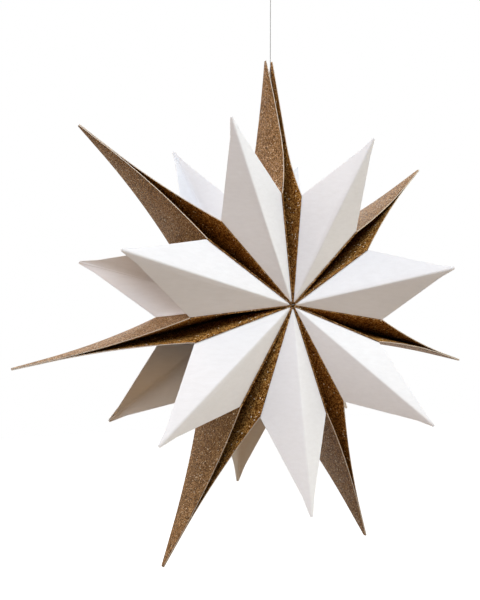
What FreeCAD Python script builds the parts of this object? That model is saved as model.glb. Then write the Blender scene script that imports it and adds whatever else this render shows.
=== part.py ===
import FreeCAD, Part
import os
from math import asin, atan2, cos, hypot, radians, sin, sqrt, tan

from FreeCAD import Vector

# A hanging paper star with seven gold points and seven white points on each side.
# Each gold point is a pair of stiff glitter leaves that run from the hub to the tip.
# Each white point is one sheet, folded along its ridge, that roofs the space between
# two pairs of leaves and is glued to their outer faces by a flap on each side.
# The star is drawn lying flat: its axis is Z, its front faces +Z and its top point is
# at +Y. Every finished piece is then stood up, so that the front faces -Y and the
# top point is at +Z. The origin is the middle of the hub.

# Sizes are in millimetres. Offsets are measured sideways from a gold point's own ray.
point_count = 7

# Gold leaves
leaf_thickness = 1.0
leaf_half_depth = 49.5
hub_radius = 2.4
spine_strip = 2.0
shoulder_radius = 124.5
shoulder_offset = 12.3
shoulder_bend_radius = 12.0
landing_radius = 265.0
gold_tip_radius = 300.0
gold_tip_half_height = 1.5

# White points
paper_thickness = 0.6
white_tip_radius = 214.5
white_tip_depth = 80.5
white_tip_half_width = 1.6
edge_reveal = 1.0
ridge_radius = 3.0
bead_width = 3.0
bead_height = 0.7
nip_length = 19.0
nip_depth = 2.0
flap_width = 8.0
flap_start = 14.0
flap_end_margin = 3.0

# The thread, and the top pair of leaves that it holds a little open
thread_diameter = 1.0
thread_clearance = 0.05
pinch_radius = 210.0
top_tip_gap = 7.7
knot_radius = 1.6
knot_length = 4.5
stop_knot_drop = 27.0
thread_top = 392.0
loop_height = 26.0
loop_width = 11.0

# A leaf's flank runs straight from the end of its spine strip to the shoulder
point_angle = 360.0 / point_count
half_angle = radians(point_angle / 2)
spine_end = hub_radius + spine_strip
spread_angle = atan2(shoulder_offset, shoulder_radius - spine_end)
flank_length = hypot(shoulder_offset, shoulder_radius - spine_end)

# The same flank's outer face, seen from the middle line of the white point beside it:
# its angle, where it starts, and where it would meet the face across the point
opening_angle = half_angle - spread_angle
outer_spine_end = spine_end - leaf_thickness * tan(spread_angle / 2)
flank_x = outer_spine_end * sin(half_angle) - leaf_thickness * cos(half_angle)
flank_y = outer_spine_end * cos(half_angle) + leaf_thickness * sin(half_angle)
apex_y = flank_y - flank_x / tan(opening_angle)
fold_depth = leaf_half_depth - edge_reveal

origin = Vector(0, 0, 0)
across = Vector(1, 0, 0)
upward = Vector(0, 1, 0)
axis = Vector(0, 0, 1)


def plan(x, y):
    """A point in the star's middle plane."""
    return Vector(x, y, 0)


def line(start, end):
    """A straight edge."""
    return Part.LineSegment(start, end).toShape()


def arc(start, middle, end):
    """An edge along the circle through three points."""
    return Part.Arc(start, middle, end).toShape()


def arc_about(center, start, end):
    """The shorter arc about a centre, from one point to another."""
    halfway = (start - center + end - center).normalize()
    return arc(start, center + halfway * (start - center).Length, end)


def face(edges):
    """A flat face inside a closed chain of edges."""
    return Part.Face(Part.Wire(Part.__sortEdges__(edges)))


def prism(points, height):
    """A solid with a polygon outline, drawn out by a vector."""
    return Part.Face(Part.makePolygon(points + points[:1])).extrude(height)


def mirrored(shape):
    """The same shape on the other side of its middle line."""
    return shape.mirror(origin, across)


def sweep_radius(rise, run):
    """The radius of an arc that starts level with the ray and rises over a run."""
    return (run ** 2 + rise ** 2) / (2 * rise)


def leaf_side(layer, landing, landing_offset, tip_offset):
    """One side of a leaf's bent section, a layer outside its inner face.

    The side lies along the ray at the hub, runs out straight to the shoulder, turns
    there in a crease, and sweeps back on an arc that comes level with the ray at the
    landing radius. From there it is straight, or opens again on a second arc.
    Gives the edges from the hub to the tip, and the tip's point.
    """
    flank = Vector(sin(spread_angle), cos(spread_angle), 0)
    outward = Vector(cos(spread_angle), -sin(spread_angle), 0)
    sweep = sweep_radius(shoulder_offset - landing_offset, landing - shoulder_radius)
    sweep_center = plan(landing_offset + sweep, landing)

    # The crease is an arc that touches both the flank and the sweep
    base = plan(0, spine_end) - outward * shoulder_bend_radius
    reach = sweep_center - base
    back = sqrt((sweep + shoulder_bend_radius) ** 2 - reach.dot(outward) ** 2)
    crease_center = base + flank * (reach.dot(flank) - back)
    toward_sweep = (sweep_center - crease_center).normalize()

    corner = plan(layer, spine_end - layer * tan(spread_angle / 2))
    crease_start = crease_center + outward * (shoulder_bend_radius + layer)
    crease_end = crease_center + toward_sweep * (shoulder_bend_radius + layer)
    landed = plan(landing_offset + layer, landing)
    edges = [
        line(plan(layer, hub_radius), corner),
        line(corner, crease_start),
        arc_about(crease_center, crease_start, crease_end),
        arc_about(sweep_center, crease_end, landed),
    ]
    rise = tip_offset - landing_offset
    if rise == 0:
        tip = plan(tip_offset + layer, gold_tip_radius)
        return edges + [line(landed, tip)], tip
    spread = sweep_radius(rise, gold_tip_radius - landing)
    spread_center = plan(landing_offset + spread, landing)
    toward_tip = (plan(tip_offset, gold_tip_radius) - spread_center).normalize()
    tip = spread_center + toward_tip * (spread - layer)
    return edges + [arc_about(spread_center, landed, tip)], tip


def leaf(landing, landing_offset, tip_offset):
    """The gold leaf on the clockwise side of its ray, trimmed to its kite outline."""
    inner, inner_tip = leaf_side(0, landing, landing_offset, tip_offset)
    outer, outer_tip = leaf_side(leaf_thickness, landing, landing_offset, tip_offset)
    hub_end = line(plan(0, hub_radius), plan(leaf_thickness, hub_radius))
    section = face(inner + outer + [line(inner_tip, outer_tip), hub_end])
    section.translate(axis * -leaf_half_depth)
    sheet = section.extrude(axis * 2 * leaf_half_depth)

    room = shoulder_offset + leaf_thickness
    upper = [
        (0, leaf_half_depth),
        (shoulder_radius, leaf_half_depth),
        (gold_tip_radius + leaf_thickness, gold_tip_half_height),
    ]
    outline = upper + [(y, -z) for y, z in reversed(upper)]
    kite = prism([Vector(-room, y, z) for y, z in outline], across * 3 * room)
    return sheet.common(kite)


def fold_sections(apex, ridge):
    """The sections through a white point, square to its ridge at the apex.

    The first is of the folded sheet, soft outside and with the bead of a scored line
    inside. The second is of all the space under the sheet's outer surface.
    """
    up = across.cross(ridge)
    facet_fall = -plan(sin(opening_angle), cos(opening_angle)).dot(up)
    slope = atan2(facet_fall, sin(opening_angle))

    def facet(x, depth):
        """A point of a facet, at a depth below its outer surface."""
        return apex + across * x - up * (abs(x) * tan(slope) + depth / cos(slope))

    far = white_tip_radius
    soft = ridge_radius * sin(slope)
    crest_drop = ridge_radius * (1 / cos(slope) - 1)
    crest = arc(facet(-soft, 0), apex - up * crest_drop, facet(soft, 0))
    half_bead = bead_width / 2
    bead_left = facet(-half_bead, paper_thickness)
    bead_right = facet(half_bead, paper_thickness)
    bead_low = (bead_left + bead_right) / 2 - up * bead_height
    slopes = [
        line(facet(-far, 0), facet(-soft, 0)),
        crest,
        line(facet(soft, 0), facet(far, 0)),
    ]
    underside = [
        line(facet(far, 0), facet(far, paper_thickness)),
        line(facet(far, paper_thickness), bead_right),
        arc(bead_right, bead_low, bead_left),
        line(bead_left, facet(-far, paper_thickness)),
        line(facet(-far, paper_thickness), facet(-far, 0)),
    ]
    return face(slopes + underside), face(slopes + [line(facet(far, 0), facet(-far, 0))])


def point_outline():
    """The outline of a white point's two facets, seen along the star's axis.

    It follows the leaves' outer faces to the shoulders and runs from there to the
    blunt tip, which is nipped narrower over its last stretch.
    """
    corner_x = flank_x + flank_length * sin(opening_angle)
    corner_y = flank_y + flank_length * cos(opening_angle)
    taper = (corner_x - white_tip_half_width) / (white_tip_radius - corner_y)
    nip_x = white_tip_half_width + taper * nip_length - nip_depth
    right = [
        (flank_x, flank_y),
        (corner_x, corner_y),
        (nip_x, white_tip_radius - nip_length),
        (white_tip_half_width, white_tip_radius),
    ]
    return [plan(x, y) for x, y in right + [(-x, y) for x, y in reversed(right)]]


def glue_flap():
    """A flap that lies on the leaf's outer face, before the facets trim its top."""
    along = plan(sin(opening_angle), cos(opening_angle))
    inward = plan(-cos(opening_angle), sin(opening_angle))
    foot = plan(0, apex_y)
    end = (plan(flank_x, flank_y) - foot).Length + flank_length - flap_end_margin
    profile = [
        (flap_start, fold_depth + flap_width),
        (flap_start, fold_depth),
        (flap_start + flap_width, fold_depth - flap_width),
        (end - flap_width, fold_depth - flap_width),
        (end, fold_depth),
        (end, fold_depth + flap_width),
    ]
    return prism([foot + along * y + axis * z for y, z in profile], inward * paper_thickness)


def white_point():
    """One folded white sheet for the front: two facets, the ridge and two glue flaps."""
    apex = Vector(0, apex_y, fold_depth)
    tip = Vector(0, white_tip_radius, white_tip_depth)
    ridge = (tip - apex).normalize()
    sheet, space = fold_sections(apex, ridge)
    length = ridge * 2 * white_tip_radius
    trim = prism(point_outline(), axis * 2 * white_tip_depth)
    facets = sheet.extrude(length).common(trim)
    flap = glue_flap().common(space.extrude(length))
    return facets.fuse([flap, mirrored(flap)]).removeSplitter()


def strand(start, end):
    """A straight stretch of the thread."""
    along = end - start
    return Part.makeCylinder(thread_diameter / 2, along.Length, start, along)


def knot(height, top_radius):
    """A knot in the thread, centred at a height above the hub.

    Its lower end is as wide as the thread, and its upper end as what leaves it there.
    """
    half = knot_length / 2
    belly = half / 3
    low = plan(thread_diameter / 2, height - half)
    high = plan(top_radius, height + half)
    profile = Part.makePolygon([
        plan(0, height - half),
        low,
        plan(knot_radius, height - belly),
        plan(knot_radius, height + belly),
        high,
        plan(0, height + half),
        plan(0, height - half),
    ])
    return Part.Face(profile).revolve(origin, upward, 360)


def hanging_loop(base):
    """The loop that goes over a hook: two strands from its knot and a round top."""
    bend = (loop_width - thread_diameter) / 2
    center = base + upward * (loop_height - loop_width / 2)
    lean = asin(bend / (center - base).Length)
    right = center + plan(bend * cos(lean), -bend * sin(lean))
    left = center + plan(-bend * cos(lean), -bend * sin(lean))
    path = Part.Wire([arc(right, center + upward * bend, left)])
    rim = Part.Wire(Part.makeCircle(thread_diameter / 2, right, right - base))
    top = path.makePipeShell([rim], True, True)
    return top.fuse([strand(base, right), strand(base, left)]).removeSplitter()


def turned(shape, degrees_clockwise):
    """The shape turned about the star's axis, clockwise as seen from the front."""
    return shape.rotated(origin, axis, -degrees_clockwise)


def save(name, shape):
    """Stands one piece up, with its front to -Y, and writes it to its own file."""
    upright = shape.rotated(origin, across, 90)
    solid = upright.Solids[0]
    solid.exportStep(os.path.join("parts", name + ".step"))
    print(name, len(upright.Solids), round(solid.Volume, 1), solid.isValid())


os.makedirs("parts", exist_ok=True)

pinch_offset = thread_diameter / 2 + thread_clearance
closed_leaf = leaf(landing_radius, 0, 0)
open_leaf = leaf(pinch_radius, pinch_offset, top_tip_gap / 2)
front_point = white_point()
back_point = front_point.mirror(origin, axis)
for number in range(1, point_count + 1):
    ray = point_angle * (number - 1)
    middle = ray - point_angle / 2
    right_leaf = open_leaf if number == 1 else closed_leaf
    save("gold_leaf_%d_right" % number, turned(right_leaf, ray))
    save("gold_leaf_%d_left" % number, turned(mirrored(right_leaf), ray))
    save("white_point_%d_front" % number, turned(front_point, middle))
    save("white_point_%d_back" % number, turned(back_point, middle))

# The thread hangs straight from its loop, and its lower knot is held under the pinch
stop_knot_height = pinch_radius - stop_knot_drop
loop_knot_height = thread_top + knot_length / 2
loop_knot = knot(loop_knot_height, thread_diameter)
save("thread_stop_knot", knot(stop_knot_height, thread_diameter / 2))
save("hanging_thread", strand(plan(0, stop_knot_height + knot_length / 2), plan(0, thread_top)))
save("thread_loop_knot", loop_knot)
save("hanging_loop", hanging_loop(plan(0, loop_knot_height)).cut(loop_knot))
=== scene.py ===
"""A hanging star of gold glitter card leaves and folded white paper points.

Every piece is modelled pointing straight up from the hub, as the top point does, and
then turned about the star's axis into its place. All lengths are in metres: X is to
the right, -Y is the front and Z is up, with the origin at the middle of the hub.
"""

import logging
import math
from abc import ABC, abstractmethod
from collections.abc import Callable, Iterator
from contextlib import contextmanager
from dataclasses import dataclass
from enum import Enum

import bmesh
import bpy
from mathutils import Matrix, Vector


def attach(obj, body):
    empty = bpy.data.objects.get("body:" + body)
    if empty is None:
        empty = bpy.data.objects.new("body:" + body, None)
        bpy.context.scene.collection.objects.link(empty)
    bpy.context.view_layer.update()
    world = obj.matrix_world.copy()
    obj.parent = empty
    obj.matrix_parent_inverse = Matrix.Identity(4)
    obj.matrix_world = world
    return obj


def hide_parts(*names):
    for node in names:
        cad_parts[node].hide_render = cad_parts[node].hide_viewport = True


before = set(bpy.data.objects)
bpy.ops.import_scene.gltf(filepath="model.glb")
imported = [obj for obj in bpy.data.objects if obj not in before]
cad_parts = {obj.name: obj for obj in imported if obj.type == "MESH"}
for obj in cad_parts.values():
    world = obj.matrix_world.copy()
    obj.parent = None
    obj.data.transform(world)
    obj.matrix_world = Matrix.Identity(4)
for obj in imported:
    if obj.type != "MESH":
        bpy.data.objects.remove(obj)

logging.basicConfig(level=logging.INFO, format="%(message)s")
log = logging.getLogger("star")

TURN = 2 * math.pi
POINT_COUNT = 7
POINT_ANGLE = TURN / POINT_COUNT
HALF_STEP = 0.5
CLOSE = 1e-6
WHITE = (1.0, 1.0, 1.0)


class Side(Enum):
    """Which leaf of a gold point, seen from the front."""

    LEFT = -1
    RIGHT = 1


class Half(Enum):
    """Which face of the star a piece belongs to, as the sign of its depth."""

    FRONT = -1
    BACK = 1


class Slot(Enum):
    """The record's material slots."""

    CARD = "gold_glitter_card"
    PAPER = "white_paper"
    THREAD = "thread"


class Effect(Enum):
    """The node groups that several finishes share."""

    FIBRE = "laid_fibre"
    FLAKES = "glitter_flakes"


class Coat(Enum):
    """The material slots on a gold leaf."""

    OUTSIDE = 0
    CUT = 1
    # The inner faces, which take the glitter with painted shade and bounced light
    INSIDE = 2


# Node trees

# The numbers of a Mix node's colour sockets
FIRST_COLOUR = 6
SECOND_COLOUR = 7
MIXED_COLOUR = 2


class Nodes:
    """A short hand for filling one node tree."""

    def __init__(self, tree: bpy.types.NodeTree) -> None:
        """Start on a tree.

        Args:
            tree: The node tree of a material, the world or a group.
        """
        self.tree = tree

    def add(self, kind: str, inputs: dict | None = None, **settings: object) -> bpy.types.Node:
        """Add a node.

        Args:
            kind: The node's type name without its "ShaderNode" beginning.
            inputs: Values or source sockets, by the input's name or number. A colour has three parts.
            settings: Attributes of the node itself.

        Returns:
            The new node.
        """
        node = self.tree.nodes.new(kind if kind.startswith("Node") else "ShaderNode" + kind)
        for name, value in settings.items():
            setattr(node, name, value)
        for name, value in (inputs or {}).items():
            socket = node.inputs[name]
            if isinstance(value, bpy.types.NodeSocket):
                self.tree.links.new(value, socket)
            elif socket.type == "RGBA":
                socket.default_value = (*value, 1.0)
            else:
                socket.default_value = value
        return node

    def math(self, operation: str, *values: object) -> bpy.types.NodeSocket:
        """Work out one number, from numbers or sockets in the order of the node's inputs."""
        return self.add("Math", dict(enumerate(values)), operation=operation).outputs[0]

    def vector(self, operation: str, *values: object) -> bpy.types.NodeSocket:
        """Work out one vector, from vectors or sockets in the order of the node's inputs."""
        return self.add("VectorMath", dict(enumerate(values)), operation=operation).outputs[0]

    def blend(self, base: object, over: object, share: float) -> bpy.types.NodeSocket:
        """Mix a share of one mask into another, which keeps the rest."""
        return self.math("MULTIPLY_ADD", base, 1.0 - share, self.math("MULTIPLY", over, share))

    def tint(self, factor: object, first: object, second: object, way: str = "MIX") -> bpy.types.NodeSocket:
        """Mix the second colour into the first by a factor."""
        inputs = {0: factor, FIRST_COLOUR: first, SECOND_COLOUR: second}
        return self.add("Mix", inputs, data_type="RGBA", blend_type=way).outputs[MIXED_COLOUR]

    def noise(
        self, place: bpy.types.NodeSocket, scale: object, detail: float, roughness: float = 0.5
    ) -> bpy.types.NodeSocket:
        """Lay a soft noise over a piece.

        Args:
            place: The socket of the coordinates.
            scale: How fine the noise is, as a number or a socket.
            detail: How many finer layers it has.
            roughness: How strong the finer layers are.

        Returns:
            The socket of the mask.
        """
        inputs = {"Vector": place, "Scale": scale, "Detail": detail, "Roughness": roughness}
        return self.add("TexNoise", inputs).outputs[0]

    def ramp(self, factor: bpy.types.NodeSocket, stops: dict[float, tuple]) -> bpy.types.NodeSocket:
        """Turn a mask into a colour.

        Args:
            factor: The mask, from 0 to 1.
            stops: Linear colours by their place on the ramp, lowest first.

        Returns:
            The colour socket.
        """
        node = self.add("ValToRGB", {0: factor})
        while len(node.color_ramp.elements) < len(stops):
            node.color_ramp.elements.new(1.0)
        for element, (place, colour) in zip(node.color_ramp.elements, sorted(stops.items())):
            element.position = place
            element.color = (*colour, 1.0)
        return node.outputs[0]

    def effect(self, effect: Effect, inputs: dict[str, float]) -> bpy.types.NodeOutputs:
        """Place a shared group with its own values, and give its outputs."""
        return self.add("Group", inputs, node_tree=bpy.data.node_groups[effect.value]).outputs


class Group(Nodes):
    """A shared effect, as a node group with named inputs and outputs."""

    def __init__(self, effect: Effect, inputs: dict[str, float]) -> None:
        """Start the group.

        Args:
            effect: The effect that it holds.
            inputs: Default values of its number inputs, by name.
        """
        super().__init__(bpy.data.node_groups.new(effect.value, "ShaderNodeTree"))
        for label, value in inputs.items():
            socket = self.tree.interface.new_socket(label, in_out="INPUT", socket_type="NodeSocketFloat")
            socket.default_value = value
        self.given = self.add("NodeGroupInput").outputs

    def put_out(self, results: dict[str, bpy.types.NodeSocket]) -> None:
        """Name what the group puts out.

        Args:
            results: The sockets of its masks and vectors, by name.
        """
        for label, source in results.items():
            kind = "NodeSocketVector" if source.type == "VECTOR" else "NodeSocketFloat"
            self.tree.interface.new_socket(label, in_out="OUTPUT", socket_type=kind)
        self.add("NodeGroupOutput", results)


def build_fibre() -> None:
    """Build the grain of a laid sheet, with a mask for its tone and a height for its bump."""
    streak_sizes = {"Streak Scale": 900.0, "Streak Stretch": 1.0}
    group = Group(Effect.FIBRE, {**streak_sizes, "Cloud Scale": 35.0, "Tooth Scale": 2600.0})
    place = group.add("TexCoord").outputs["Object"]
    stretch = group.add("CombineXYZ", {0: group.given["Streak Stretch"], 1: 1.0, 2: 1.0}).outputs[0]
    along = group.vector("MULTIPLY", place, stretch)
    streaks = group.noise(along, group.given["Streak Scale"], detail=3.0, roughness=0.6)
    clouds = group.noise(place, group.given["Cloud Scale"], detail=2.0)
    tooth = group.noise(place, group.given["Tooth Scale"], detail=1.0)
    tone = group.blend(streaks, clouds, share=0.3)
    height = group.blend(streaks, tooth, share=0.35)
    group.put_out({"Tone": tone, "Height": height})


def build_flakes() -> None:
    """Build the flakes of glitter, one for each cell: a tone, a mask of painted glints and a tilted normal.
    """
    spark_sizes = {"Spark Scale": 1000.0, "Spark Share": 0.01}
    group = Group(Effect.FLAKES, {**spark_sizes, "Flake Scale": 1000.0, "Clump Scale": 600.0, "Tilt": 0.5})
    place = group.add("TexCoord").outputs["Object"]
    flakes, glint_cells = (
        group.add("TexVoronoi", {"Vector": place, "Scale": group.given[scale]}).outputs["Color"]
        for scale in ("Flake Scale", "Spark Scale")
    )
    chance, rare = (group.add("SeparateColor", {0: cells}).outputs[0] for cells in (flakes, glint_cells))
    clumps = group.noise(place, group.given["Clump Scale"], detail=2.0, roughness=0.7)
    centred = group.vector("SUBTRACT", flakes, (0.5, 0.5, 0.5))
    leaning = group.vector("MULTIPLY", centred, group.given["Tilt"])
    tilted = group.vector("ADD", group.add("NewGeometry").outputs["Normal"], leaning)
    group.put_out({
        "Tone": group.blend(chance, clumps, share=0.4),
        # The mask of painted glints: the few cells that get a near-white colour in place of caught light
        "Spark": group.math("LESS_THAN", rare, group.given["Spark Share"]),
        "Normal": group.vector("NORMALIZE", tilted),
    })


# Finishes


@dataclass(frozen=True)
class Finish(ABC):
    """A finish that has one surface shader."""

    name: str

    @abstractmethod
    def surface(self, nodes: Nodes) -> dict[str, object]:
        """Build what feeds the shader.

        Args:
            nodes: The material's nodes.

        Returns:
            Values or source sockets of the shader's inputs, by name.
        """

    def make(self) -> bpy.types.Material:
        """Build the material.

        Returns:
            The material.
        """
        material = bpy.data.materials.new(self.name)
        material.use_nodes = True
        material.node_tree.nodes.clear()
        nodes = Nodes(material.node_tree)
        shader = nodes.add("BsdfPrincipled", self.surface(nodes))
        nodes.add("OutputMaterial", {"Surface": shader.outputs[0]})
        return material


@dataclass(frozen=True)
class Fibrous(Finish):
    """Fine fibres in a dark and a light tone, mixed between two ends of the grain's mask."""

    light: tuple
    dark: tuple
    ends: tuple[float, float]
    roughness: float
    gloss: float
    streak_scale: float
    streak_stretch: float

    def surface(self, nodes: Nodes) -> dict[str, object]:
        """Lay the grain over the piece.

        Args:
            nodes: The material's nodes.

        Returns:
            Values or source sockets of the shader's inputs, by name.
        """
        sizes = {"Streak Scale": self.streak_scale, "Streak Stretch": self.streak_stretch}
        grain = nodes.effect(Effect.FIBRE, sizes)
        return {
            "Base Color": nodes.ramp(grain["Tone"], dict(zip(self.ends, (self.dark, self.light)))),
            "Roughness": self.roughness,
            "Specular IOR Level": self.gloss,
            **self.extras(nodes, grain),
        }

    def extras(self, nodes: Nodes, grain: bpy.types.NodeOutputs) -> dict[str, object]:
        """Build what only one finish has; a plain one has nothing more."""
        return {}


@dataclass(frozen=True)
class LaidPaper(Fibrous):
    """Matt white paper with a faint grain of level streaks."""

    name: str = "white_laid_paper"
    light: tuple = (0.9, 0.912, 0.935)
    dark: tuple = (0.85, 0.858, 0.878)
    ends: tuple[float, float] = (0.3, 0.7)
    roughness: float = 0.95
    gloss: float = 0.0
    streak_scale: float = 320.0
    streak_stretch: float = 0.22
    relief: float = 0.00014

    def extras(self, nodes: Nodes, grain: bpy.types.NodeOutputs) -> dict[str, object]:
        """Raise the grain from the sheet."""
        bump = nodes.add("Bump", {"Height": grain["Height"], "Distance": self.relief, "Strength": 1.0})
        return {"Normal": bump.outputs[0]}


@dataclass(frozen=True)
class CutCore(Fibrous):
    """The pale pulp that shows where the card is cut."""

    name: str = "cut_card_core"
    light: tuple = (0.76, 0.71, 0.63)
    dark: tuple = (0.6, 0.52, 0.42)
    ends: tuple[float, float] = (0.35, 0.65)
    roughness: float = 0.9
    gloss: float = 0.2
    streak_scale: float = 900.0
    streak_stretch: float = 0.5


@dataclass(frozen=True)
class SpunThread(Fibrous):
    """Pale spun thread with fine fibres along each ply."""

    name: str = "spun_thread"
    light: tuple = (0.27, 0.27, 0.27)
    dark: tuple = (0.16, 0.16, 0.16)
    ends: tuple[float, float] = (0.3, 0.7)
    roughness: float = 0.6
    gloss: float = 0.5
    streak_scale: float = 4000.0
    streak_stretch: float = 1.0
    sheen: float = 0.3
    sheen_roughness: float = 0.4

    def extras(self, nodes: Nodes, grain: bpy.types.NodeOutputs) -> dict[str, object]:
        """Give the fibres their soft sheen."""
        return {"Sheen Weight": self.sheen, "Sheen Roughness": self.sheen_roughness}


@dataclass(frozen=True)
class BronzeGlitter(Finish):
    """A coat of metal flakes in a brown gold, with painted glints: a few flakes coloured near white as if
    they caught the light.
    """

    name: str = "bronze_glitter"
    hollow: tuple = (0.03, 0.014, 0.004)
    flake: tuple = (0.162, 0.072, 0.019)
    bright: tuple = (0.485, 0.295, 0.14)
    # A near-white colour painted on a few flakes as glints of light
    spark: tuple = (0.95, 0.84, 0.64)
    stops: tuple[float, float, float] = (0.2, 0.5, 0.85)
    tint: tuple = (1.0, 0.85, 0.7)
    metallic: float = 0.04
    gloss: float = 0.1
    roughness: float = 0.55
    flake_scale: float = 1000.0
    flake_tilt: float = 0.6
    spark_scale: float = 1200.0
    spark_share: float = 0.012

    def surface(self, nodes: Nodes) -> dict[str, object]:
        """Colour every flake and tilt it.

        Args:
            nodes: The material's nodes.

        Returns:
            Values or source sockets of the shader's inputs, by name.
        """
        sizes = {"Flake Scale": self.flake_scale, "Tilt": self.flake_tilt}
        rare = {"Spark Scale": self.spark_scale, "Spark Share": self.spark_share}
        flakes = nodes.effect(Effect.FLAKES, {**sizes, **rare})
        tones = nodes.ramp(flakes["Tone"], dict(zip(self.stops, (self.hollow, self.flake, self.bright))))
        return {
            # The painted glints are mixed into the flakes' colour
            "Base Color": nodes.tint(flakes["Spark"], tones, self.spark),
            "Normal": flakes["Normal"],
            "Metallic": self.metallic,
            "Roughness": self.roughness,
            "Specular IOR Level": self.gloss,
            "Specular Tint": self.tint,
        }


@dataclass(frozen=True)
class PaintedBounceGlitter(BronzeGlitter):
    """The same glitter with painted light: a deeper, more saturated gold for the inner faces, painted in
    place of the shade and the light that the two leaves throw at one another.
    """

    name: str = "gold_glitter"
    # Darker, more saturated colours, painted for the shade and the light bounced between the leaves
    hollow: tuple = (0.03, 0.01, 0.001)
    flake: tuple = (0.2, 0.08, 0.014)
    bright: tuple = (0.6, 0.33, 0.1)
    tint: tuple = (1.0, 0.7, 0.35)
    gloss: float = 0.02
    spark_scale: float = 850.0
    spark_share: float = 0.014


@dataclass(frozen=True)
class ShadedGlitter(PaintedBounceGlitter):
    """The same gold with painted shade, darker towards the middle depth of the star where the valley floors
    lie.
    """

    name: str = "shaded_gold_glitter"
    # Painted shade: between these depths the colour is multiplied from the deep shade up to the shallow shade
    deep: float = 0.012
    shallow: float = 0.046
    deep_shade: float = 0.25
    shallow_shade: float = 1.15

    def surface(self, nodes: Nodes) -> dict[str, object]:
        """Paint shade on the flakes by their depth.

        Args:
            nodes: The material's nodes.

        Returns:
            Values or source sockets of the shader's inputs, by name.
        """
        sockets = super().surface(nodes)
        place = nodes.add("SeparateXYZ", {0: nodes.add("TexCoord").outputs["Object"]})
        limits = {"From Min": self.deep, "From Max": self.shallow}
        tones = {"To Min": self.deep_shade, "To Max": self.shallow_shade}
        # Painted shade, darkest at the middle depth where the valley floors lie
        depth = nodes.math("ABSOLUTE", place.outputs["Y"])
        strength = nodes.add("MapRange", {"Value": depth, **limits, **tones}).outputs[0]
        return {**sockets, "Base Color": nodes.tint(1.0, sockets["Base Color"], strength, way="MULTIPLY")}


@dataclass(frozen=True)
class Palette:
    """The finished materials of the star."""

    paper: bpy.types.Material
    glitter: bpy.types.Material
    # The inner faces' glitter, with painted shade and bounced light
    inside: bpy.types.Material
    # The valleys' glitter, with painted shade towards the star's middle depth
    valley: bpy.types.Material
    core: bpy.types.Material
    thread: bpy.types.Material

    @classmethod
    def mix(cls) -> "Palette":
        """Build the shared groups and every material.

        Returns:
            The palette.
        """
        build_fibre()
        build_flakes()
        return cls(
            paper=LaidPaper().make(),
            glitter=BronzeGlitter().make(),
            inside=PaintedBounceGlitter().make(),
            valley=ShadedGlitter().make(),
            core=CutCore().make(),
            thread=SpunThread().make(),
        )


# The bench, for modelling by hand

# An edge is a cut one, and is rounded over, where its faces turn by more degrees than this
CUT_ANGLE = 50.0
ROUNDING_STEPS = 2
MAIN_COAT = 0
PLATE = 1.0


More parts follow.
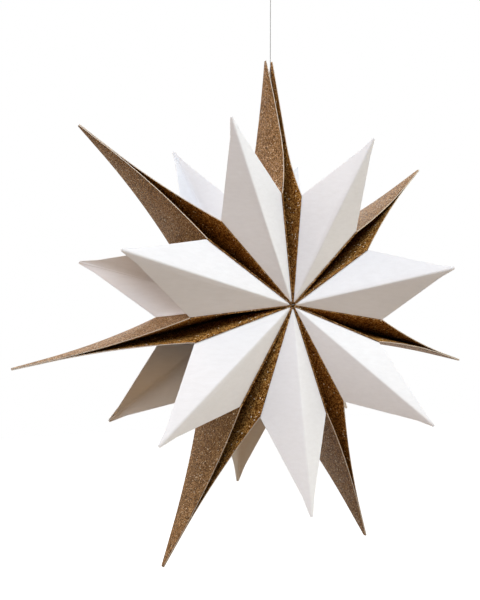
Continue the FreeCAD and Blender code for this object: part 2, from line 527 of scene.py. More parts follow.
class Bench:
    """One mesh on the bench, shaped in edit mode."""

    def __init__(self, name: str) -> None:
        """Add a plain plate to start from.

        Args:
            name: The piece's name.
        """
        bpy.ops.object.select_all(action="DESELECT")
        bpy.ops.mesh.primitive_plane_add(size=PLATE, location=(0.0, 0.0, 0.0))
        self.piece = bpy.context.object
        self.piece.name = self.piece.data.name = name

    @contextmanager
    def mesh(self) -> Iterator[bmesh.types.BMesh]:
        """Open the mesh under edit, and pass on what is changed in it.

        Yields:
            The mesh.
        """
        edited = bmesh.from_edit_mesh(self.piece.data)
        yield edited
        edited.select_flush_mode()
        bmesh.update_edit_mesh(self.piece.data)

    def select(self, mode: str, wanted: Callable[[object], bool]) -> None:
        """Select by a test.

        Args:
            mode: VERT, EDGE or FACE.
            wanted: Tells whether an element belongs to the selection.
        """
        bpy.ops.mesh.select_mode(type=mode)
        bpy.ops.mesh.select_all(action="DESELECT")
        with self.mesh() as edited:
            parts = {"VERT": edited.verts, "EDGE": edited.edges, "FACE": edited.faces}[mode]
            for part in [part for part in parts if wanted(part)]:
                part.select = True

    def extrude(self, step: Vector) -> None:
        """Draw the selection out by a step, and leave the new part selected."""
        bpy.ops.mesh.extrude_region_move(TRANSFORM_OT_translate={"value": tuple(step)})

    def move(self, step: Vector) -> None:
        """Move the selection by a step."""
        bpy.ops.transform.translate(value=tuple(step))

    def cut(self, point: Vector, normal: Vector, keep: bool = False) -> None:
        """Cut the selection with a plane.

        Args:
            point: A point of the plane.
            normal: The side that is cut away.
            keep: Whether both sides stay.
        """
        bpy.ops.mesh.bisect(plane_co=tuple(point), plane_no=tuple(normal.normalized()), clear_outer=not keep)

    def cut_through(self, point: Vector, normal: Vector, keep: bool = False) -> None:
        """Cut the whole mesh, as cut does with the selection."""
        bpy.ops.mesh.select_all(action="SELECT")
        self.cut(point, normal, keep)

    def edge_between(self, start: Vector, end: Vector) -> None:
        """Leave one edge of the plate, and carry its ends to two points.

        Args:
            start: Where its first end goes.
            end: Where its other end goes.
        """
        self.select("VERT", lambda vert: vert.co.y > 0)
        bpy.ops.mesh.delete(type="VERT")
        for sign, target in ((-1, start), (1, end)):
            corner = Vector((sign, -1, 0)) * PLATE / 2
            self.select("VERT", lambda vert: (vert.co - corner).length < CLOSE)
            self.move(target - corner)

    def face_toward(self, outward: Vector) -> None:
        """Turn the open sheet's faces so that their mean normal points outward.

        Args:
            outward: The way that they have to face.
        """
        bpy.ops.mesh.select_all(action="SELECT")
        bpy.ops.mesh.normals_make_consistent(inside=False)
        with self.mesh() as edited:
            mean = sum((face.normal * face.calc_area() for face in edited.faces), Vector())
        if mean.dot(outward) < 0:
            bpy.ops.mesh.flip_normals()

    def finish(
        self,
        thickness: float,
        offset: float,
        edge: float,
        smooth: float,
        rim: int = MAIN_COAT,
        even: bool = True,
    ) -> None:
        """Give the sheet its thickness and soften its cut edges.

        Args:
            thickness: The sheet's thickness.
            offset: Which way it grows from the modelled face, from -1 to 1.
            edge: How far the cut edges are rounded over.
            smooth: The angle in degrees up to which faces shade as one.
            rim: The material slot of the cut edge.
            even: Whether the thickness is kept round sharp folds too.
        """
        solid = self.piece.modifiers.new("thickness", "SOLIDIFY")
        solid.thickness, solid.offset, solid.use_even_offset = thickness, offset, even
        solid.material_offset_rim = rim
        bpy.ops.object.modifier_apply(modifier=solid.name)
        bevel = self.piece.modifiers.new("edges", "BEVEL")
        bevel.width, bevel.segments, bevel.material = edge, ROUNDING_STEPS, MAIN_COAT
        bevel.limit_method, bevel.angle_limit = "ANGLE", math.radians(CUT_ANGLE)
        bpy.ops.object.modifier_apply(modifier=bevel.name)
        bpy.ops.object.shade_smooth_by_angle(angle=math.radians(smooth))


def set_in_place(model: bpy.types.Object, name: str, place: Matrix) -> bpy.types.Object:
    """Copy a model with its own mesh, put it in its place and ride it on the star.

    Args:
        model: The finished model, pointing straight up.
        name: The copy's name.
        place: The turn, and the mirroring if any.

    Returns:
        The new piece.
    """
    piece = model.copy()
    piece.data = model.data.copy()
    piece.name = piece.data.name = name
    piece.data.transform(place)
    if place.determinant() < 0:
        piece.data.flip_normals()
    bpy.context.collection.objects.link(piece)
    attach(piece, "root")
    return piece


def turned(steps: float) -> Matrix:
    """The turn by a number of points, clockwise as seen from the front."""
    return Matrix.Rotation(POINT_ANGLE * steps, 4, "Y")


MIRROR_SIDE = Matrix.Scale(-1, 4, Vector((1, 0, 0)))
MIRROR_DEPTH = Matrix.Scale(-1, 4, Vector((0, 1, 0)))


# Gold leaves


@dataclass(frozen=True)
class LeafPattern:
    """The pattern of a gold leaf: the line of its inner face, and its outline.

    The line runs straight out along the ray that the pair shares, then away from it to
    the shoulder, and sweeps back to the landing. An offset is a distance from the ray.
    The leaf is equally deep up to the shoulder, and narrows from there to the tip.
    """

    hub_radius: float = 0.0024
    spine_end: float = 0.0044
    shoulder_radius: float = 0.1245
    shoulder_offset: float = 0.0123
    landing_radius: float = 0.265
    landing_offset: float = 0.0
    tip_radius: float = 0.3
    tip_offset: float = 0.0
    sweep_steps: int = 18
    tip_steps: int = 6
    thickness: float = 0.001
    half_depth: float = 0.0495
    tip_half_height: float = 0.0015

    def spread(self) -> float:
        """The angle between the ray and the straight flank."""
        return math.atan2(self.shoulder_offset, self.shoulder_radius - self.spine_end)

    def taper(self) -> Vector:
        """The run of the outline from the shoulder to the tip, as its fall in depth and its rise."""
        rise = self.tip_radius + self.thickness - self.shoulder_radius
        return Vector((0.0, self.half_depth - self.tip_half_height, rise))

    def depth(self, radius: float) -> float:
        """How far the leaf reaches to the front at a distance from the hub."""
        run = self.taper()
        return self.half_depth - run.y / run.z * max(0.0, radius - self.shoulder_radius)

    def offset(self, radius: float) -> float:
        """How far the face stands from the ray.

        Args:
            radius: The distance from the hub along the ray.

        Returns:
            The sideways distance.
        """
        if radius <= self.shoulder_radius:
            return max(0.0, radius - self.spine_end) * math.tan(self.spread())
        run = self.landing_radius - radius
        if run > 0:
            rise = self.shoulder_offset - self.landing_offset
            whole = self.landing_radius - self.shoulder_radius
        else:
            rise = self.tip_offset - self.landing_offset
            whole = self.tip_radius - self.landing_radius
        if rise == 0:
            return self.landing_offset
        bend = (whole**2 + rise**2) / (2 * rise)
        return self.landing_offset + bend - math.sqrt(bend**2 - run**2)

    def stations(self) -> list[Vector]:
        """Find the points that the leaf is drawn out through.

        Returns:
            The points from the hub to the tip.
        """
        radii = [self.hub_radius, self.spine_end, self.shoulder_radius]
        for end, steps in ((self.landing_radius, self.sweep_steps), (self.tip_radius, self.tip_steps)):
            start = radii[-1]
            radii += [start + (end - start) * step / steps for step in range(1, steps + 1)]
        return [Vector((self.offset(radius), 0.0, radius)) for radius in radii]


@dataclass
class GoldLeaf:
    """One glitter card leaf of a gold point, bent along its line."""

    palette: Palette
    pattern: LeafPattern
    side: Side
    crease: float = 0.0017
    crease_steps: int = 4
    edge_rounding: float = 0.00014
    smooth_angle: float = 25.0
    inner_lean: float = 0.5

    def model(self) -> bpy.types.Object:
        """Model the leaf as a right one, pointing straight up.

        Returns:
            The leaf.
        """
        bench = Bench("leaf_model")
        stations = self.pattern.stations()
        deep = Vector((0.0, self.pattern.half_depth, 0.0))
        bpy.ops.object.mode_set(mode="EDIT")
        bench.edge_between(stations[0] - deep, stations[0] + deep)
        bpy.ops.mesh.select_all(action="SELECT")
        for start, end in zip(stations, stations[1:]):
            bench.extrude(end - start)
        self.trim(bench)
        self.crease_shoulder(bench)
        bench.face_toward(Vector((1.0, 0.0, 0.0)))
        bpy.ops.object.mode_set(mode="OBJECT")
        bench.piece.data.materials.append(self.palette.glitter)
        bench.piece.data.materials.append(self.palette.core)
        bench.finish(self.pattern.thickness, 1.0, self.edge_rounding, self.smooth_angle, rim=Coat.CUT.value)
        # The third slot: the inner-face glitter with painted shade and bounced light
        bench.piece.data.materials.append(self.palette.inside)
        self.coat(bench)
        return bench.piece

    def trim(self, bench: Bench) -> None:
        """Narrow the leaf from the shoulder to the tip, front and back.

        Args:
            bench: The bench with the drawn out strip.
        """
        run = self.pattern.taper()
        for half in Half:
            corner = Vector((0.0, half.value * self.pattern.half_depth, self.pattern.shoulder_radius))
            bench.cut_through(corner, Vector((0.0, half.value * run.z, run.y)))

    def crease_shoulder(self, bench: Bench) -> None:
        """Round the bend where the straight flank ends.

        Args:
            bench: The bench with the trimmed leaf.
        """
        shoulder = self.pattern.shoulder_radius
        bench.select("EDGE", lambda edge: all(abs(vert.co.z - shoulder) < CLOSE for vert in edge.verts))
        bpy.ops.mesh.bevel(offset=self.crease, segments=self.crease_steps, affect="EDGES")

    def coat(self, bench: Bench) -> None:
        """Give the inner face the deeper glitter that stands for painted shade and bounced light, and paint
        the cut edge up to the shoulder with the outside glitter as painted shade near the hub.

        Args:
            bench: The bench with the finished leaf.
        """
        shoulder = self.pattern.shoulder_radius
        bpy.ops.object.mode_set(mode="EDIT")
        for coat, old, wanted in (
            # Painted shade: the cut edge up to the shoulder takes the darker outside glitter in place of the
            # pale core
            (Coat.OUTSIDE, Coat.CUT, lambda face: face.calc_center_median().z < shoulder),
            # Painted shade and bounced light: the inner faces take the deeper glitter
            (Coat.INSIDE, Coat.OUTSIDE, lambda face: face.normal.x < -self.inner_lean),
        ):
            bench.select("FACE", lambda face: face.material_index == old.value and wanted(face))
            bench.piece.active_material_index = coat.value
            bpy.ops.object.material_slot_assign()
        bpy.ops.object.mode_set(mode="OBJECT")

    def build(self, number: int, model: bpy.types.Object) -> bpy.types.Object:
        """Set the leaf in its place on one gold point.

        Args:
            number: The point's number, clockwise from the top.
            model: The leaf as a right one.

        Returns:
            The leaf.
        """
        word = self.side.name.lower()
        place = turned(number - 1) @ (MIRROR_SIDE if self.side is Side.LEFT else Matrix())
        leaf = set_in_place(model, "glitter_leaf_%d_%s" % (number, word), place)
        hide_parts("gold_leaf_%d_%s" % (number, word))
        return leaf


@dataclass
class Valley:
    """The glitter card that closes a pair of leaves, folded in a V down to its floor."""

    palette: Palette
    patterns: dict[Side, LeafPattern]
    floor_depth: float = 0.008
    thickness: float = 0.0004
    start: float = 0.014
    end: float = 0.226
    bends: int = 10
    edge_rounding: float = 0.00008
    smooth_angle: float = 25.0

    def row(self, radius: float) -> tuple[Vector, dict[Side, Vector]]:
        """Find where the fold runs at a distance from the hub.

        Args:
            radius: The distance from the hub.

        Returns:
            The point on its floor, and the one on the rim of each side.
        """
        walls = {side: side.value * self.patterns[side].offset(radius) for side in Side}
        depth = self.patterns[Side.RIGHT].depth(radius)
        floor = Vector((sum(walls.values()) / 2, -self.floor_depth, radius))
        rims = {side: Vector((walls[side] - side.value * self.thickness, -depth, radius)) for side in Side}
        return floor, rims

    def model(self) -> bpy.types.Object:
        """Model the valley for the front, pointing straight up.

        Returns:
            The folded card.
        """
        bench = Bench("valley_model")
        shoulder = self.patterns[Side.RIGHT].shoulder_radius
        reach = self.end - shoulder
        radii = [self.start] + [shoulder + reach * step / self.bends for step in range(self.bends + 1)]
        rows = [self.row(radius) for radius in radii]
        floor, rims = rows[0]
        bpy.ops.object.mode_set(mode="EDIT")
        bench.edge_between(floor, rims[Side.LEFT])
        bench.select("VERT", lambda vert: (vert.co - floor).length < CLOSE)
        bench.extrude(rims[Side.RIGHT] - floor)
        for side in Side:
            for (foot, rims), (next_foot, next_rims) in zip(rows, rows[1:]):
                ends = foot + rims[side]
                bench.select("EDGE", lambda edge: (edge.verts[0].co + edge.verts[1].co - ends).length < CLOSE)
                bench.extrude(next_foot - foot)
                moved = rims[side] + next_foot - foot
                bench.select("VERT", lambda vert: (vert.co - moved).length < CLOSE)
                bench.move(next_rims[side] - moved)
        bpy.ops.mesh.select_all(action="SELECT")
        bpy.ops.mesh.remove_doubles(threshold=CLOSE)
        bench.face_toward(Vector((0.0, -1.0, 0.0)))
        bpy.ops.object.mode_set(mode="OBJECT")
        bench.piece.data.materials.append(self.palette.valley)
        bench.finish(self.thickness, -1.0, self.edge_rounding, self.smooth_angle, even=False)
        return bench.piece

    def build(self, number: int, model: bpy.types.Object) -> list[bpy.types.Object]:
        """Set the front and the back valley of one gold point in their places.

        Args:
            number: The point's number, clockwise from the top.
            model: The front valley.

        Returns:
            The two valleys.
        """
        valleys = []
        for half in Half:
            word = half.name.lower()
            place = turned(number - 1) @ (MIRROR_DEPTH if half is Half.BACK else Matrix())
            valleys.append(set_in_place(model, "glitter_valley_%d_%s" % (number, word), place))
        return valleys


# White points


@dataclass
class WhitePoint:
    """One sheet of white paper, folded along its ridge over two gold leaves."""

    palette: Palette
    leaf: LeafPattern
    thickness: float = 0.0006
    tip_radius: float = 0.2145
    tip_depth: float = 0.0805
    tip_half_width: float = 0.0016
    reveal: float = 0.001
    fold: float = 0.0016
    fold_segments: int = 6
    # The half width of each strip of the bead, and how far it is lifted
    bead_lifts: tuple = ((0.0012, 0.0003), (0.0007, 0.0003), (0.0002, 0.0001))
    nip_length: float = 0.019
    nip_depth: float = 0.002
    flap_width: float = 0.008
    flap_start: float = 0.022
    flap_end: float = 0.011
    edge_rounding: float = 0.0001
    smooth_angle: float = 20.0
    inner_share: float = 0.8

    def __post_init__(self) -> None:
        """Work out the outline from the leaves on both sides."""
        half = POINT_ANGLE / 2
        spread = self.leaf.spread()
        self.opening = half - spread
        start = self.leaf.spine_end - self.leaf.thickness * math.tan(spread / 2)
        length = math.hypot(self.leaf.shoulder_offset, self.leaf.shoulder_radius - self.leaf.spine_end)
        self.flank = Vector((math.sin(self.opening), 0.0, math.cos(self.opening)))
        self.foot = Vector((
            start * math.sin(half) - self.leaf.thickness * math.cos(half),
            -(self.leaf.half_depth - self.reveal),
            start * math.cos(half) + self.leaf.thickness * math.sin(half),
        ))
        self.corner = self.foot + self.flank * length
        self.apex = Vector((0.0, self.foot.y, self.foot.z - self.foot.x / math.tan(self.opening)))
        self.tip = Vector((0.0, -self.tip_depth, self.tip_radius))
        self.ridge = (self.tip - self.apex).normalized()
        taper = (self.corner.x - self.tip_half_width) / (self.tip_radius - self.corner.z)
        nip_x = self.tip_half_width + taper * self.nip_length - self.nip_depth
        self.nip = Vector((nip_x, 0.0, self.tip_radius - self.nip_length))
        self.end = Vector((self.tip_half_width, 0.0, self.tip_radius))

    def model(self) -> bpy.types.Object:
        """Model one point for the front, pointing straight up.

        Returns:
            The folded sheet.
        """
        bench = Bench("paper_point_model")
        bpy.ops.object.mode_set(mode="EDIT")
        self.fold_sheet(bench)
        self.trim(bench)
        self.soften_ridge(bench)
        for side in Side:
            self.add_flap(bench, side)
        bench.face_toward(Vector((0.0, -1.0, 0.0)))
        bpy.ops.object.mode_set(mode="OBJECT")
        bench.piece.data.materials.append(self.palette.paper)
        bench.finish(self.thickness, -1.0, self.edge_rounding, self.smooth_angle)
        bpy.ops.object.mode_set(mode="EDIT")
        self.raise_bead(bench)
        bpy.ops.object.mode_set(mode="OBJECT")
        return bench.piece

    def fold_sheet(self, bench: Bench) -> None:
        """Draw the two facets out from the ridge line, each along its leaf.

        Args:
            bench: The bench with the plain plate.
        """
        beyond = self.tip + self.ridge * self.nip_length
        bench.edge_between(self.apex, beyond)
        for side in Side:
            bench.select("EDGE", lambda edge: all(abs(vert.co.x) < CLOSE for vert in edge.verts))
            bench.extrude(Vector((side.value * self.flank.x, 0.0, self.flank.z)) * self.tip_radius)

    def trim(self, bench: Bench) -> None:
        """Cut the facets to their outline, with the nipped blunt tip.

        Args:
            bench: The bench with the two facets.
        """
        up = Vector((0.0, 0.0, 1.0))
        bench.cut_through(self.foot, -up)
        bench.cut_through(self.tip, up)
        bench.cut_through(self.nip, up, keep=True)
        bench.select("FACE", lambda face: face.calc_center_median().z > self.nip.z)
        bpy.ops.mesh.split()
        for low, high in ((self.corner, self.nip), (self.nip, self.end)):
            upper = low is self.nip
            for side in Side:
                bench.select(
                    "FACE",
                    lambda face: (face.calc_center_median().z > self.nip.z) == upper
                    and face.calc_center_median().x * side.value > 0,
                )
                away = Vector((side.value * (high.z - low.z), 0.0, low.x - high.x))
                bench.cut(Vector((side.value * low.x, 0.0, low.z)), away)
        bpy.ops.mesh.select_all(action="SELECT")
        bpy.ops.mesh.remove_doubles(threshold=CLOSE)

    def soften_ridge(self, bench: Bench) -> None:
        """Round the fold along the ridge."""
        bench.select("EDGE", lambda edge: all(abs(vert.co.x) < CLOSE for vert in edge.verts))
        bpy.ops.mesh.bevel(offset=self.fold, segments=self.fold_segments, affect="EDGES")

    def add_flap(self, bench: Bench, side: Side) -> None:
        """Fold a glue flap down from one flank, onto the leaf's outer face.

        Args:
            bench: The bench with the trimmed facets.
            side: The flank.
        """
        bench.select(
            "EDGE",
            lambda edge: all(
                abs(vert.co.y - self.apex.y) < CLOSE and vert.co.x * side.value > 0 for vert in edge.verts
            ),
        )
        bench.extrude(Vector((0.0, self.flap_width, 0.0)))
        flank = Vector((side.value * self.flank.x, 0.0, self.flank.z))
        middle = (self.foot.z + self.corner.z) / 2
        for upper, step in ((False, self.flap_start), (True, -self.flap_end)):
            bench.select(
                "VERT",
                lambda vert: abs(vert.co.y - self.apex.y - self.flap_width) < CLOSE
                and vert.co.x * side.value > 0
                and (vert.co.z > middle) == upper,
            )
            bench.move(flank * step)

    def raise_bead(self, bench: Bench) -> None:
        """Raise the line of the score inside the fold, from nothing at the hub to its full height at the tip.

        Args:
            bench: The bench with the finished sheet.
        """
        inward = self.ridge.cross(Vector((1.0, 0.0, 0.0)))
        if inward.y < 0:
            inward.negate()
        foot = self.apex.dot(inward)
        for width, lift in self.bead_lifts:
            bench.select(
                "VERT",
                lambda vert: abs(vert.co.x) < width
                and vert.co.dot(inward) - foot > self.thickness * self.inner_share
                and vert.co.y < self.apex.y + self.thickness
                and vert.co.z > self.corner.z,
            )
            bench.move(inward * lift)

    def build(self, number: int, model: bpy.types.Object) -> list[bpy.types.Object]:
        """Set the front and the back point between two gold points.

        Args:
            number: The number of the gold point that follows, clockwise.
            model: The front point.

        Returns:
            The two white points.
        """
        points = []
        between = turned(number - 1 - HALF_STEP)
        for half in Half:
            word = half.name.lower()
            place = between @ (MIRROR_DEPTH if half is Half.BACK else Matrix())
            point = set_in_place(model, "paper_point_%d_%s" % (number, word), place)
            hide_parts("white_point_%d_%s" % (number, word))
            points.append(point)
        return points


# The thread


@dataclass
class HangingThread:
    """Two-ply thread from the knot inside the top point to the loop for a hook."""

    palette: Palette
    diameter: float = 0.001
    foot_x: float = 0.0013
    top_x: float = 0.0033
    start: float = 0.18525
    leaving: float = 0.3
    top: float = 0.392
    knot_length: float = 0.0045
    stop_knot_width: float = 0.0052
    loop_knot_width: float = 0.0032
    # Control points of the loop's right half, across and up from the loop knot
    loop_half: tuple = ((0.0, 0.0), (0.00275, 0.009), (0.005, 0.0185), (0.0051, 0.0235), (0.0031, 0.0255))
    ply_radius: float = 0.00027
    ply_offset: float = 0.00023
    twist_pitch: float = 0.0032
    points_a_turn: int = 12
    wraps: float = 3.4
    first_wrap: float = 0.55
    swell: float = 3.0
    smooth_angle: float = 50.0

    def route(self, name: str, points: list[Vector]) -> bpy.types.Object:
        """Draw a smooth line with the given control points.

        Args:
            name: The line's name.
            points: The control points.

        Returns:
            The curve, with no thickness.
        """
        curve = bpy.data.curves.new(name, "CURVE")
        curve.dimensions = "3D"
        curve.resolution_u = 24
        spline = curve.splines.new("NURBS")
        spline.points.add(len(points) - 1)
        for control, point in zip(spline.points, points):
            control.co = (*point, 1.0)
        spline.order_u = 3
        spline.use_endpoint_u = True
        line = bpy.data.objects.new(name, curve)
        bpy.context.collection.objects.link(line)
        return line

    def followed(self, line: bpy.types.Object, step: float) -> list[Vector]:
        """Read a line's own points, an even step apart, and remove the line.

        Args:
            line: The curve.
            step: The distance between the points.

        Returns:
            The points from one end to the other.
        """
        mesh = bpy.data.meshes.new_from_object(line)
        corners = [vert.co.copy() for vert in mesh.vertices]
        bpy.data.objects.remove(line)
        bpy.data.meshes.remove(mesh)
        lengths = [(end - start).length for start, end in zip(corners, corners[1:])]
        count = max(2, round(sum(lengths) / step))
        spots, piece, passed = [], 0, 0.0
        for number in range(count + 1):
            wanted = sum(lengths) * number / count
            while piece < len(lengths) - 1 and passed + lengths[piece] < wanted:
                passed += lengths[piece]
                piece += 1
            spots.append(corners[piece].lerp(corners[piece + 1], (wanted - passed) / lengths[piece]))
        return spots

    def tube(self, name: str, points: list[Vector], radius: float) -> bpy.types.Object:
        """Make a round closed strand through points.

        Args:
            name: The strand's name.
            points: The points of its middle line.
            radius: Its radius.

        Returns:
            The strand as a mesh.
        """
        line = self.route(name, points)
        line.data.bevel_depth = radius
        line.data.bevel_resolution = 3
        line.data.resolution_u = 2
        line.data.use_fill_caps = True
        bpy.ops.object.select_all(action="DESELECT")
        line.select_set(True)
        bpy.context.view_layer.objects.active = line
        bpy.ops.object.convert(target="MESH")
        bpy.ops.object.shade_smooth_by_angle(angle=math.radians(self.smooth_angle))
        return bpy.context.object

    def twisted(self, name: str, path: list[Vector]) -> bpy.types.Object:
        """Twist two plies round a path.

        Args:
            name: The piece's name.
            path: Points of the path, an even step apart.

        Returns:
            The twisted thread.
        """
        plies = []
        depth = Vector((0.0, 1.0, 0.0))
        turn = TURN / self.points_a_turn
        for start in (0.0, math.pi):
            points = []
            for number, spot in enumerate(path):
                ahead = path[min(number + 1, len(path) - 1)] - path[max(number - 1, 0)]
                sideways = ahead.cross(depth).normalized()
                angle = start + number * turn
                points.append(spot + (sideways * math.cos(angle) + depth * math.sin(angle)) * self.ply_offset)
            plies.append(self.tube(name, points, self.ply_radius))
        return self.joined(name, plies)

    def joined(self, name: str, parts: list[bpy.types.Object]) -> bpy.types.Object:
        """Join parts into one piece of thread.

        Args:
            name: The piece's name.
            parts: The parts, the first of which is kept.

        Returns:
            The piece, riding on the star.
        """
        bpy.ops.object.select_all(action="DESELECT")
        for part in parts:
            part.select_set(True)
        bpy.context.view_layer.objects.active = parts[0]
        bpy.ops.object.join()
        piece = bpy.context.object
        piece.name = piece.data.name = name
        piece.data.materials.clear()
        piece.data.materials.append(self.palette.thread)
        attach(piece, "root")
        return piece

    def knot(self, name: str, node: str, middle: Vector, width: float) -> bpy.types.Object:
        """Wind the thread round itself, as a stopper knot does.

        Args:
            name: The piece's name.
            node: The node that it stands for.
            middle: The place of its middle.
            width: Its diameter.

        Returns:
            The knot.
        """
        radius = self.diameter / 2
        belly = width / 2 - radius
        reach = self.knot_length / 2 - radius
        count = round(self.wraps * self.points_a_turn)
        wound = []
        for number in range(count + 1):
            share = number / count
            angle = share * self.wraps * TURN
            pull = belly * min(1.0, self.first_wrap + self.swell * min(share, 1.0 - share))
            level = reach * (2 * share - 1)
            wound.append(middle + Vector((pull * math.cos(angle), pull * math.sin(angle), level)))
        core = [middle + Vector((0.0, 0.0, sign * self.knot_length / 2)) for sign in (-1, 0, 1)]
        fill = [middle + Vector((0.0, 0.0, sign * reach)) for sign in (-1, 0, 1)]
        parts = [self.tube(name, wound, radius), self.tube(name, core, radius), self.tube(name, fill, belly)]
        piece = self.joined(name, parts)
        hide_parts(node)
        return piece

    def build(self) -> list[bpy.types.Object]:
        """Make the thread, its two knots and its loop.

        Returns:
            All four pieces.
        """
        step = self.twist_pitch / self.points_a_turn
        foot, top = Vector((self.foot_x, 0.0, self.start)), Vector((self.top_x, 0.0, self.top))
        leaving = foot.lerp(top, (self.leaving - self.start) / (self.top - self.start))
        path = self.followed(self.route("thread_route", [foot, leaving, top]), step)
        thread = self.twisted("twisted_thread", path)
        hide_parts("hanging_thread")
        half = Vector((0.0, 0.0, self.knot_length / 2))
        stop = self.knot("stop_knot", "thread_stop_knot", foot - half, self.stop_knot_width)
        tie = self.knot("loop_knot", "thread_loop_knot", top + half, self.loop_knot_width)
        loop = self.loop(step)
        return [thread, stop, tie, loop]

    def loop(self, step: float) -> bpy.types.Object:
        """Make the loop above the upper knot.

        Args:
            step: The distance between the points of its path.

        Returns:
            The loop.
        """
        foot = Vector((self.top_x, 0.0, self.top + self.knot_length / 2))
        outline = [*self.loop_half, *((-x, z) for x, z in reversed(self.loop_half))]
        path = self.followed(self.route("loop_route", [foot + Vector((x, 0.0, z)) for x, z in outline]), step)
        piece = self.twisted("twisted_loop", path)
        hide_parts("hanging_loop")
        return piece


# The studio


def seen_directly(nodes: Nodes) -> bpy.types.NodeSocket:
    """Tell rays from the camera, mirrors and glass from the rays that light things.

    Args:
        nodes: The nodes of the world or of a stage material.

    Returns:
        The socket that is 1 for what is seen and 0 for what lights.
    """
    path = nodes.add("LightPath").outputs
    direct = nodes.math("MAXIMUM", path["Is Camera Ray"], path["Is Glossy Ray"])
    return nodes.math("MAXIMUM", direct, path["Is Transmission Ray"])


@dataclass(frozen=True)
class PaleFloor(Finish):
    """A floor that looks pale and throws little light back at the star."""

    name: str = "pale_floor"
    lighting: tuple = (0.12, 0.11, 0.1)
    seen: tuple = (0.85, 0.84, 0.83)
    roughness: float = 0.9

    def surface(self, nodes: Nodes) -> dict[str, object]:
        """Tell what is seen of the floor from the light that it gives.

        Args:
            nodes: The material's nodes.

        Returns:
            Values or source sockets of the shader's inputs, by name.
        """
        direct = seen_directly(nodes)
        colour = nodes.tint(direct, self.lighting, self.seen)
        glow = {"Emission Color": WHITE, "Emission Strength": direct}
        return {"Base Color": colour, "Roughness": self.roughness, **glow}


@dataclass(frozen=True)
class Softbox:
    """One soft area lamp that faces the hub."""

    name: str
    azimuth: float
    elevation: float
    distance: float
    size: float
    power: float
    colour: tuple

    def set_up(self) -> None:
        """Place the lamp; azimuth 0 is straight in front, and grows to the right."""
        lamp = bpy.data.lights.new(self.name, "AREA")
        lamp.shape = "DISK"
        lamp.size = self.size
        lamp.energy = self.power
        lamp.color = self.colour
        stand = bpy.data.objects.new(self.name, lamp)
        side, lift = math.radians(self.azimuth), math.radians(self.elevation)
        toward = Vector((math.sin(side) * math.cos(lift), -math.cos(side) * math.cos(lift), math.sin(lift)))
        stand.location = toward * self.distance
        stand.rotation_euler = toward.to_track_quat("Z", "Y").to_euler()
        bpy.context.collection.objects.link(stand)


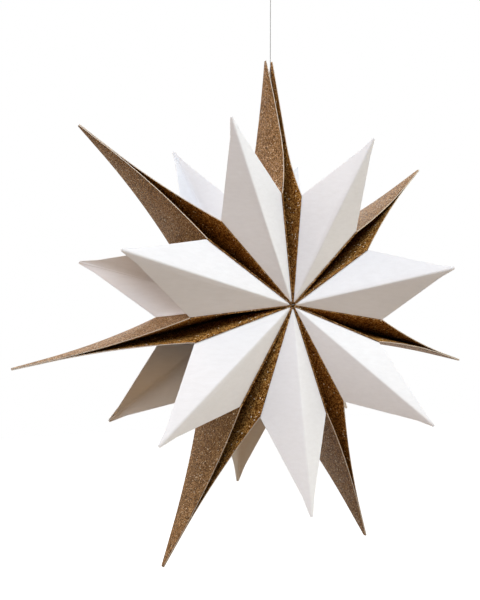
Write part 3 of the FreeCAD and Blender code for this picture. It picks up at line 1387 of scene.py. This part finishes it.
@dataclass(frozen=True)
class Studio:
    """A plain pale room with soft light and the camera."""

    camera_place: tuple = (-0.39382, -0.65774, -0.01581)
    camera_turn: tuple = (97.836, -0.609, -24.217)
    lens: float = 38.688
    shift: tuple = (0.0773, -0.1169)
    floor_height: float = -1.2
    floor_size: float = 12.0
    ambient: tuple = (0.0, 0.0, 0.0)
    lamps: tuple[Softbox, ...] = (
        Softbox("key", -5.0, 55.0, 2.2, 1.2, 37.5, (0.72, 0.86, 1.0)),
        Softbox("side", 75.0, 15.0, 2.4, 1.6, 41.9, (1.0, 0.98, 0.857)),
        Softbox("warm", -45.0, 45.0, 2.2, 1.2, 15.3, (1.0, 0.83, 0.75)),
        Softbox("upper_left", -90.0, 50.0, 2.4, 1.2, 14.5, (1.0, 0.82, 0.7)),
        Softbox("left", -95.0, 15.0, 2.4, 1.6, 26.4, (1.0, 0.95, 0.87)),
        Softbox("low", 0.0, -40.0, 2.0, 2.0, 19.3, (1.0, 0.59, 0.26)),
        Softbox("back", 175.0, 45.0, 2.2, 1.2, 30.0, (0.95, 0.97, 1.0)),
        Softbox("back_low", 180.0, -25.0, 2.4, 2.0, 7.0, (1.0, 0.8, 0.6)),
        Softbox("back_side", -130.0, 10.0, 2.4, 1.6, 4.0, (1.0, 0.97, 0.95)),
    )

    def aim_camera(self) -> None:
        """Create the camera."""
        data = bpy.data.cameras.new("camera")
        data.lens, data.sensor_width = self.lens, 36.0
        data.shift_x, data.shift_y = self.shift
        data.clip_start, data.clip_end = 0.01, 50.0
        camera = bpy.data.objects.new("camera", data)
        camera.location = self.camera_place
        camera.rotation_euler = tuple(math.radians(angle) for angle in self.camera_turn)
        bpy.context.collection.objects.link(camera)
        bpy.context.scene.camera = camera

    def light_world(self) -> None:
        """Make what is behind the star white, and leave the light to the lamps."""
        world = bpy.data.worlds.new("room")
        bpy.context.scene.world = world
        world.use_nodes = True
        world.node_tree.nodes.clear()
        nodes = Nodes(world.node_tree)
        colour = nodes.tint(seen_directly(nodes), self.ambient, WHITE)
        background = nodes.add("Background", {"Color": colour, "Strength": 1.0})
        nodes.add("OutputWorld", {"Surface": background.outputs[0]})

    def lay_floor(self) -> None:
        """Lay the pale floor, which keeps the star's shadow."""
        bpy.ops.object.select_all(action="DESELECT")
        bpy.ops.mesh.primitive_plane_add(size=self.floor_size, location=(0.0, 0.0, self.floor_height))
        floor = bpy.context.object
        floor.name = "floor"
        floor.data.materials.append(PaleFloor().make())

    def build(self) -> None:
        """Set up the world, the floor, the lamps and the plain view transform."""
        self.light_world()
        self.lay_floor()
        for lamp in self.lamps:
            lamp.set_up()
        bpy.context.scene.view_settings.view_transform = "Standard"


def main() -> None:
    """Build the camera and the thread first, then the leaves, the points and the room."""
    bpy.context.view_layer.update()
    studio = Studio()
    studio.aim_camera()
    palette = Palette.mix()
    made = HangingThread(palette).build()

    closed = LeafPattern()
    open_right = LeafPattern(landing_radius=0.19, landing_offset=0.00385, tip_offset=0.00385)
    open_left = LeafPattern(landing_radius=0.2, landing_offset=0.00095, tip_offset=0.0041)
    white = WhitePoint(palette, closed)
    folded = white.model()
    for patterns, numbers in (
        ({Side.LEFT: open_left, Side.RIGHT: open_right}, range(1, 2)),
        ({Side.LEFT: closed, Side.RIGHT: closed}, range(2, POINT_COUNT + 1)),
    ):
        valley = Valley(palette, patterns)
        hollow = valley.model()
        leaves = [GoldLeaf(palette, patterns[side], side) for side in Side]
        models = [leaf.model() for leaf in leaves]
        for number in numbers:
            made += [leaf.build(number, model) for leaf, model in zip(leaves, models)]
            made += valley.build(number, hollow)
            made += white.build(number, folded)
        for model in (*models, hollow):
            bpy.data.objects.remove(model)
    bpy.data.objects.remove(folded)
    studio.build()

    for piece in made:
        log.info("%s: %d faces", piece.name, len(piece.data.polygons))


if __name__ == "__main__":
    main()
